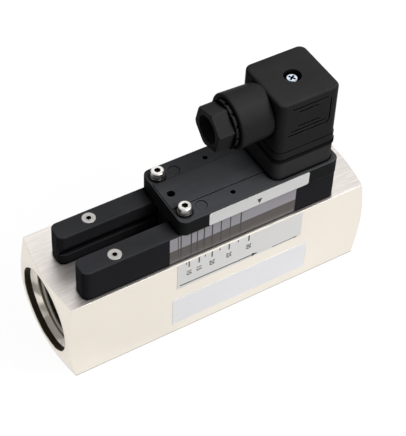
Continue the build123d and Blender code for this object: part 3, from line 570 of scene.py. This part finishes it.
class FLOWSWITCH_OT_port_threads(bpy.types.Operator):
    """Pipe thread in both ports, as a helical ridge standing out of the bore"""

    bl_idname = "flow_switch.port_threads"
    bl_label = "Port threads"

    def execute(self, context):
        sizes = context.scene.flow_switch_sizes
        low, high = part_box("brass_body")
        middle = (low.z + high.z) / 2
        length = port_size("length_mm")
        root = port_size("r_mm") + THREAD_SEAT
        lead = sizes.mouth_depth + sizes.mouth_radius - port_size("r_mm")
        material = self.lit_thread_nickel(context, middle, high.x - lead)

        half_foot = sizes.thread_pitch * 0.46
        half_crest = sizes.thread_pitch * 0.10
        turns = length / sizes.thread_pitch
        for name, start in (("inlet_thread", low.x + lead), ("outlet_thread", high.x - lead - length)):
            bm = bmesh.new()
            profile = [
                (start - half_foot, root),
                (start - half_crest, sizes.thread_crest),
                (start + half_crest, sizes.thread_crest),
                (start + half_foot, root),
            ]
            helix(bm, profile, middle, turns, sizes.thread_pitch, sizes.thread_steps)
            cut_flat(bm, start + THREAD_SEAT, -1.0)
            cut_flat(bm, start + length - THREAD_SEAT, 1.0)
            bmesh.ops.recalc_face_normals(bm, faces=bm.faces)
            piece(name, bm, material, "flow_body")
        return {"FINISHED"}

    def lit_thread_nickel(self, context, middle, thread_end):
        """Painted shade at the thread's root and on its end faces, painted light up the flanks and a painted
        highlight at the crest.
        """
        colours = context.scene.flow_switch_colours
        finish = Finish("thread_nickel")
        x, y, z = finish.axes()
        rise = z - middle
        depth = (y * y + rise * rise).root() - context.scene.flow_switch_sizes.thread_crest
        turned = finish.noise(900.0, 3.0, finish.stretched((3.0, 0.5, 0.5)))
        flank = finish.ramp(depth, 1.2 * MM, 0.8 * MM)
        crest = finish.ramp(depth, 0.2 * MM, 0.05 * MM)
        clear_of_ends = abs(x) < thread_end - BODY_END_SKIN
        # Painted light and shade by depth in the thread, with painted shade on its end faces
        thread_light = (flank + crest) * clear_of_ends * 0.5
        return finish.surface(
            Base_Color=finish.tint(thread_light, colours.bore_shade_brown, shade(colours.nickel, 0.8)),
            Metallic=0.6,
            Roughness=0.42 + turned * 0.12,
            Normal=finish.bump(turned, METAL_RELIEF, 0.3),
        )


class FLOWSWITCH_OT_flow_parts(bpy.types.Operator):
    """Measuring tube, guides, rod, rings and float inside the bore"""

    bl_idname = "flow_switch.flow_parts"
    bl_label = "Flow parts"

    def execute(self, context):
        colours = context.scene.flow_switch_colours
        brass = metal("turned_brass", colours.brass, 0.22, (40.0, 1.0, 1.0), 120.0)
        steel = metal("bright_steel", colours.steel, 0.2, grain_scale=500.0)
        magnet = metal("sintered_magnet", colours.magnet, 0.45, grain_scale=900.0)
        dress(brass, "measuring_tube", "inlet_guide", "outlet_guide")
        dress(brass, "float_head", "float_collar", "screw_insert")
        dress(steel, "guide_rod", "rod_nuts", "retaining_rings")
        dress(magnet, "ring_magnet")
        return {"FINISHED"}


class FLOWSWITCH_OT_float_spring(bpy.types.Operator):
    """Return spring, a wound wire in the place of the imported one"""

    bl_idname = "flow_switch.float_spring"
    bl_label = "Float spring"

    def execute(self, context):
        colours = context.scene.flow_switch_colours
        sizes = context.scene.flow_switch_sizes
        low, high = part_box("float_spring")
        middle = (low.z + high.z) / 2
        wire = sizes.spring_wire / 2
        length = high.x - low.x - sizes.spring_wire
        bm = bmesh.new()
        ring = []
        for facet in range(sizes.wire_facets):
            angle = 2 * math.pi * facet / sizes.wire_facets
            along = low.x + wire + wire * math.cos(angle)
            ring.append((along, sizes.spring_radius + wire * math.sin(angle)))
        pitch = length / sizes.spring_turns
        helix(bm, ring, middle, sizes.spring_turns, pitch, sizes.spring_steps)
        material = metal("spring_wire", colours.steel, 0.25, grain_scale=700.0)
        made = piece("return_spring", bm, material, "flow_body", smooth=True)
        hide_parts("float_spring")
        joint = next(j for j in frame["joints"] if j["name"] == "float_slide")
        travel = joint["range_m"][1]
        anchor = high.x
        (anchor - low.x - travel) / (anchor - low.x)
        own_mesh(made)
        return {"FINISHED"}


class FLOWSWITCH_OT_rail(bpy.types.Operator):
    """Fork rail, shoe and reed switch in its carrier"""

    bl_idname = "flow_switch.rail"
    bl_label = "Rail and shoe"

    def execute(self, context):
        colours = context.scene.flow_switch_colours
        rail = moulded(
            "rail_satin_black",
            colours.rail,
            0.42,
            pits=1800.0,
            edge=0.5 * MM,
            # Top painted paler, for the light from above
            lit_top=shade(colours.rail, 2.3),
            lit_top_height=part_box("mounting_rail")[1].z - RAIL_TOP_SKIN,
        )
        dress(rail, "mounting_rail", "slide_shoe", "reed_carrier")
        finish = Finish("reed_glass")
        haze = finish.noise(300.0, 2.0)
        glass = finish.surface(
            Base_Color=finish.tint(haze, colours.glass_dim, colours.glass_clear),
            Roughness=0.06 + haze * 0.04,
            Transmission_Weight=0.8,
            IOR=1.47,
        )
        dress(glass, "reed_switch")
        return {"FINISHED"}


class FLOWSWITCH_OT_housing(bpy.types.Operator):
    """Switch housing with its finely textured top"""

    bl_idname = "flow_switch.housing"
    bl_label = "Switch housing"

    def execute(self, context):
        colours = context.scene.flow_switch_colours
        textured = moulded(
            "housing_textured",
            colours.housing,
            0.5,
            pits=2200.0,
            depth=0.07 * MM,
            edge=0.4 * MM,
            # Its textured top is paler, partly from its own texture and partly from painted light from above
            lit_top=colours.housing_lit_textured_top,
            lit_top_height=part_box("switch_housing")[1].z - HOUSING_TOP_SKIN,
        )
        dress(textured, "switch_housing")
        return {"FINISHED"}


class FLOWSWITCH_OT_fasteners(bpy.types.Operator):
    """Screws, washers and contacts"""

    bl_idname = "flow_switch.fasteners"
    bl_label = "Fasteners and contacts"

    def execute(self, context):
        colours = context.scene.flow_switch_colours
        steel = metal("screw_steel", colours.steel, 0.28, grain_scale=650.0, edge=0.25 * MM)
        dress(steel, "housing_screws", "spring_washers", "lock_screw", "base_screws", "terminal_screws")
        dull = metal("dull_screw_steel", shade(colours.steel, 0.62), 0.34, grain_scale=650.0, edge=0.25 * MM)
        dress(dull, "rail_screws")
        dress(metal("blue_zinc", colours.zinc, 0.2, grain_scale=500.0), "plug_screw")
        dress(metal("tinned_contact", colours.contact, 0.3), "contact_pins", "socket_contacts")
        return {"FINISHED"}


class FLOWSWITCH_OT_connector(bpy.types.Operator):
    """Connector base, plug, terminal block, gland and seals"""

    bl_idname = "flow_switch.connector"
    bl_label = "Connector"

    def execute(self, context):
        colours = context.scene.flow_switch_colours
        plug = moulded(
            "plug_satin_black",
            colours.plug,
            0.27,
            pits=1500.0,
            # Upward faces painted paler, for the light from above
            lit_top=shade(colours.plug, 1.7),
            lit_top_height=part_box("plug_housing")[0].z,
        )
        dress(plug, "plug_housing", "terminal_block", "gland_washer")
        gland = moulded(
            "gland_black",
            colours.plug,
            0.30,
            pits=1500.0,
            # Upward faces painted paler, for the light from above
            lit_top=shade(colours.plug, 1.8),
            lit_top_height=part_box("gland_nut")[0].z,
        )
        dress(gland, "gland_nut")
        dress(moulded("base_black", shade(colours.plug, 1.75), 0.45, pits=1800.0), "plug_base")
        rubber = moulded("matt_rubber", colours.rubber, 0.7, pits=900.0, depth=0.06 * MM, edge=0.2 * MM)
        dress(rubber, "profile_gasket", "screw_seal", "cable_grommet")
        return {"FINISHED"}


class FLOWSWITCH_OT_scale_strip(bpy.types.Operator):
    """Strip along the rail: two tones of painted reflection on its film, a painted shadow at its foot and painted
    shade along its middle, crossed by fine lines
    """

    bl_idname = "flow_switch.scale_strip"
    bl_label = "Scale strip"

    def execute(self, context):
        colours = context.scene.flow_switch_colours
        low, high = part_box("scale_strip")
        parting = low.z + (high.z - low.z) * 0.505
        # Painted shadow along the strip's foot and painted shade along its middle
        foot_shadow = 0.8 * MM
        fold_shade = 0.28 * MM
        # Place along the strip and width of each line, in millimetres
        cross_lines = (
            (-21.5, 0.4), (-20.2, 0.6), (-15.3, 0.7), (-12.4, 0.55), (-9.1, 0.65),
            (-5.2, 0.65), (-0.9, 0.6), (3.6, 0.55), (8.8, 0.7),
        )

        finish = Finish("strip_film")
        x, y, z = finish.axes()
        cloud = finish.noise(45.0, 3.0)
        # Painted reflection: the upper half pale and bluish, the lower half dark brown
        light = finish.tint(cloud, shade(colours.strip_upper_reflection, 0.9), shade(colours.strip_upper_reflection, 1.12))
        dark = finish.tint(cloud, shade(colours.strip_lower_reflection, 0.9), shade(colours.strip_lower_reflection, 1.1))
        lines = (z < low.z + foot_shadow) + (abs(z - parting) < fold_shade / 2) * 0.7
        for place, width in cross_lines:
            lines = lines + (abs(x - place * MM) < width * MM / 2)
        material = finish.surface(
            Base_Color=finish.over(finish.blend(z > parting, dark, light), lines, colours.ink),
            Roughness=0.32 + cloud * 0.1,
        )
        dress(material, "scale_strip")
        return {"FINISHED"}


class FLOWSWITCH_OT_labels(bpy.types.Operator):
    """Films on the body and the housing, with the scale's ticks, numbers, arrows and pointer"""

    bl_idname = "flow_switch.labels"
    bl_label = "Labels and print"

    def execute(self, context):
        colours = context.scene.flow_switch_colours
        sizes = context.scene.flow_switch_sizes
        dress(film("scale_film", colours.scale_film, 0.36), "scale_label")
        dress(film("white_film", colours.white_film, 0.34), "blank_label")
        dress(film("pointer_film", colours.pointer_film, 0.34), "pointer_label")
        ink = film("black_ink", colours.ink, 0.4)
        grey_ink = film("grey_ink", colours.grey_ink, 0.4)
        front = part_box("scale_label")[0].y
        deep = sizes.ink_thickness

        # Places on the labels are in millimetres: along the body, and up from its underside
        long_ticks = (-16.8, -11.95, -5.6, 2.8, 12.7)
        short_ticks = (-18.2, -9.0, -1.85, 7.3)
        tick_top = 44.2
        bm = bmesh.new()
        for x in long_ticks:
            stroke(bm, (x, tick_top), (x, 40.8), 0.65, front, deep)
        for x in short_ticks:
            stroke(bm, (x, tick_top), (x, 42.9), 0.5, front, deep)
        piece("scale_ticks", bm, ink, "flow_body")

        bm = bmesh.new()
        stroke(bm, (-21.0, 30.6), (15.6, 30.2), 0.6, front, deep)
        plate(bm, [(15.0, 29.2), (17.9, 30.15), (15.0, 31.2)], front, deep)
        piece("flow_arrow", bm, ink, "flow_body")

        bm = bmesh.new()
        stroke(bm, (25.4, 29.5), (37.2, 29.5), 0.45, front, deep)
        plate(bm, [(36.9, 29.0), (38.9, 29.5), (36.9, 30.0)], front, deep)
        piece("faint_arrow", bm, grey_ink, "flow_body")

        numeral_row = 37.2
        bm = bmesh.new()
        for x, numeral in zip(long_ticks, ("10", "15", "20", "25", "30")):
            self.numeral(bm, numeral, x, numeral_row, front, deep, sizes.numeral_height)
        piece("scale_numbers", bm, ink, "flow_body")

        bm = bmesh.new()
        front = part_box("pointer_label")[0].y
        plate(bm, [(15.4, 65.1), (16.6, 62.1), (17.8, 65.1)], front, deep)
        piece("pointer_mark", bm, ink, "switch_head")
        return {"FINISHED"}

    def numeral(self, bm, text, x, z, front, deep, height):
        """A number that reads downwards, centred on (x, z) in millimetres, a little bolder than its font."""
        digit_share = 0.7
        bolder = 0.08 * MM
        curve = bpy.data.curves.new("numeral", "FONT")
        curve.body = text
        curve.size = height / digit_share
        curve.align_x = "CENTER"
        curve.align_y = "CENTER"
        curve.extrude = deep / 2
        curve.offset = bolder
        holder = bpy.data.objects.new("numeral", curve)
        bpy.context.scene.collection.objects.link(holder)
        bpy.context.view_layer.update()
        mesh = bpy.data.meshes.new_from_object(holder.evaluated_get(bpy.context.evaluated_depsgraph_get()))
        upright = Matrix.Rotation(math.pi / 2, 4, "X")
        downwards = Matrix.Rotation(-math.pi / 2, 4, "Z")
        place = Matrix.Translation((x * MM, front - deep / 2, z * MM))
        mesh.transform(place @ upright @ downwards)
        bm.from_mesh(mesh)
        bpy.data.objects.remove(holder)
        bpy.data.meshes.remove(mesh)
        bpy.data.curves.remove(curve)


class FLOWSWITCH_OT_studio(bpy.types.Operator):
    """Pale floor, soft light and the camera"""

    bl_idname = "flow_switch.studio"
    bl_label = "Studio"

    def execute(self, context):
        scene = context.scene
        sizes = scene.flow_switch_sizes
        scene.view_settings.view_transform = "Standard"
        self.surroundings(scene, sizes.air_light)
        self.floor(scene, sizes.floor_glow)
        self.lamp("key_softbox", spot=(0.42, -0.26, 0.76), size=0.40, power=sizes.key_light)
        self.lamp("fill_softbox", spot=(0.26, -0.60, 0.58), size=0.55, power=sizes.fill_light)
        self.lamp("rim_softbox", spot=(0.28, 0.60, 0.80), size=0.50, power=sizes.rim_light)
        self.photo_camera(scene)
        return {"FINISHED"}

    def surroundings(self, scene, strength):
        """Faint light from all round, and a bright backdrop for the camera and for what metal shows."""
        world = bpy.data.worlds.new("studio_air")
        scene.world = world
        world.use_nodes = True
        air = Finish("studio_air", world, "Generated")
        ceiling = air.ramp(air.axes()[2], low=0.25, high=0.8, start=1.0, end=0.6)
        lighting = air.node("ShaderNodeBackground", inputs={"Color": WHITE, "Strength": strength})
        backdrop = air.node("ShaderNodeBackground", inputs={"Color": WHITE, "Strength": ceiling})
        mixed = air.node("ShaderNodeMixShader", inputs={0: air.looked_at(), 1: lighting, 2: backdrop})
        air.node("ShaderNodeOutputWorld", inputs={"Surface": mixed})

    def floor(self, scene, strength):
        """A wide floor that glows where it is looked at, so that it stays white with a soft shadow."""
        glow_share = 0.85
        bm = bmesh.new()
        bmesh.ops.create_grid(bm, x_segments=1, y_segments=1, size=FLOOR_REACH)
        bmesh.ops.translate(bm, verts=bm.verts, vec=(0, 0, -FLOOR_GAP))
        mesh = bpy.data.meshes.new("floor")
        bm.to_mesh(mesh)
        bm.free()
        floor = bpy.data.objects.new("floor", mesh)
        scene.collection.objects.link(floor)
        finish = Finish("pale_floor")
        paper = finish.node("ShaderNodeBsdfDiffuse", inputs={"Color": PAPER})
        glow = finish.node("ShaderNodeEmission", inputs={"Color": WHITE, "Strength": strength})
        share = finish.looked_at() * glow_share
        lit = finish.node("ShaderNodeMixShader", inputs={0: share, 1: paper, 2: glow})
        finish.node("ShaderNodeOutputMaterial", inputs={"Surface": lit})
        mesh.materials.append(finish.material)

    def lamp(self, name, spot, size, power):
        """Square soft light aimed at the object."""
        light = bpy.data.lights.new(name, "AREA")
        light.size = size
        light.energy = power
        holder = bpy.data.objects.new(name, light)
        bpy.context.scene.collection.objects.link(holder)
        aim = (LAMP_TARGET - Vector(spot)).to_track_quat("-Z", "Y").to_matrix().to_4x4()
        aim.translation = spot
        holder.matrix_world = aim

    def photo_camera(self, scene):
        """Camera at the photo's viewpoint, with its focal length and its slight roll."""
        right = Vector((math.cos(CAMERA_AZIMUTH), math.sin(CAMERA_AZIMUTH), 0))
        forward = (CAMERA_TARGET - CAMERA_SPOT).normalized()
        up = right.cross(forward).normalized()
        across = right * math.cos(CAMERA_ROLL) + up * math.sin(CAMERA_ROLL)
        above = -right * math.sin(CAMERA_ROLL) + up * math.cos(CAMERA_ROLL)
        lens = bpy.data.cameras.new("photo_camera")
        lens.sensor_fit = "VERTICAL"
        lens.sensor_height = SENSOR_HEIGHT
        lens.lens = FOCAL_PIXELS / PHOTO_HEIGHT * SENSOR_HEIGHT
        lens.clip_start = 0.01
        camera = bpy.data.objects.new("photo_camera", lens)
        scene.collection.objects.link(camera)
        turned = Matrix((across, above, -forward)).transposed().to_4x4()
        turned.translation = CAMERA_SPOT
        camera.matrix_world = turned
        scene.camera = camera


OPERATORS = (
    FLOWSWITCH_OT_body,
    FLOWSWITCH_OT_port_threads,
    FLOWSWITCH_OT_flow_parts,
    FLOWSWITCH_OT_float_spring,
    FLOWSWITCH_OT_rail,
    FLOWSWITCH_OT_housing,
    FLOWSWITCH_OT_fasteners,
    FLOWSWITCH_OT_connector,
    FLOWSWITCH_OT_scale_strip,
    FLOWSWITCH_OT_labels,
    FLOWSWITCH_OT_studio,
)


class FLOWSWITCH_PT_panel(bpy.types.Panel):
    """Buttons and values of the flow switch"""

    bl_label = "Flow Switch"
    bl_idname = "FLOWSWITCH_PT_panel"
    bl_space_type = "VIEW_3D"
    bl_region_type = "UI"
    bl_category = "Flow Switch"

    def draw(self, context):
        layout = self.layout
        for operator in OPERATORS:
            layout.operator(operator.bl_idname)
        for group in (context.scene.flow_switch_sizes, context.scene.flow_switch_colours):
            for name in group.__annotations__:
                layout.prop(group, name)


CLASSES = (FlowSwitchColours, FlowSwitchSizes, *OPERATORS, FLOWSWITCH_PT_panel)


def register():
    for entry in CLASSES:
        bpy.utils.register_class(entry)
    bpy.types.Scene.flow_switch_colours = PointerProperty(type=FlowSwitchColours)
    bpy.types.Scene.flow_switch_sizes = PointerProperty(type=FlowSwitchSizes)


def unregister():
    del bpy.types.Scene.flow_switch_sizes
    del bpy.types.Scene.flow_switch_colours
    for entry in reversed(CLASSES):
        bpy.utils.unregister_class(entry)


def main():
    register()
    bpy.ops.flow_switch.body()
    bpy.ops.flow_switch.port_threads()
    bpy.ops.flow_switch.flow_parts()
    bpy.ops.flow_switch.float_spring()
    bpy.ops.flow_switch.rail()
    bpy.ops.flow_switch.housing()
    bpy.ops.flow_switch.fasteners()
    bpy.ops.flow_switch.connector()
    bpy.ops.flow_switch.scale_strip()
    bpy.ops.flow_switch.labels()
    bpy.ops.flow_switch.studio()


if __name__ == "__main__":
    main()
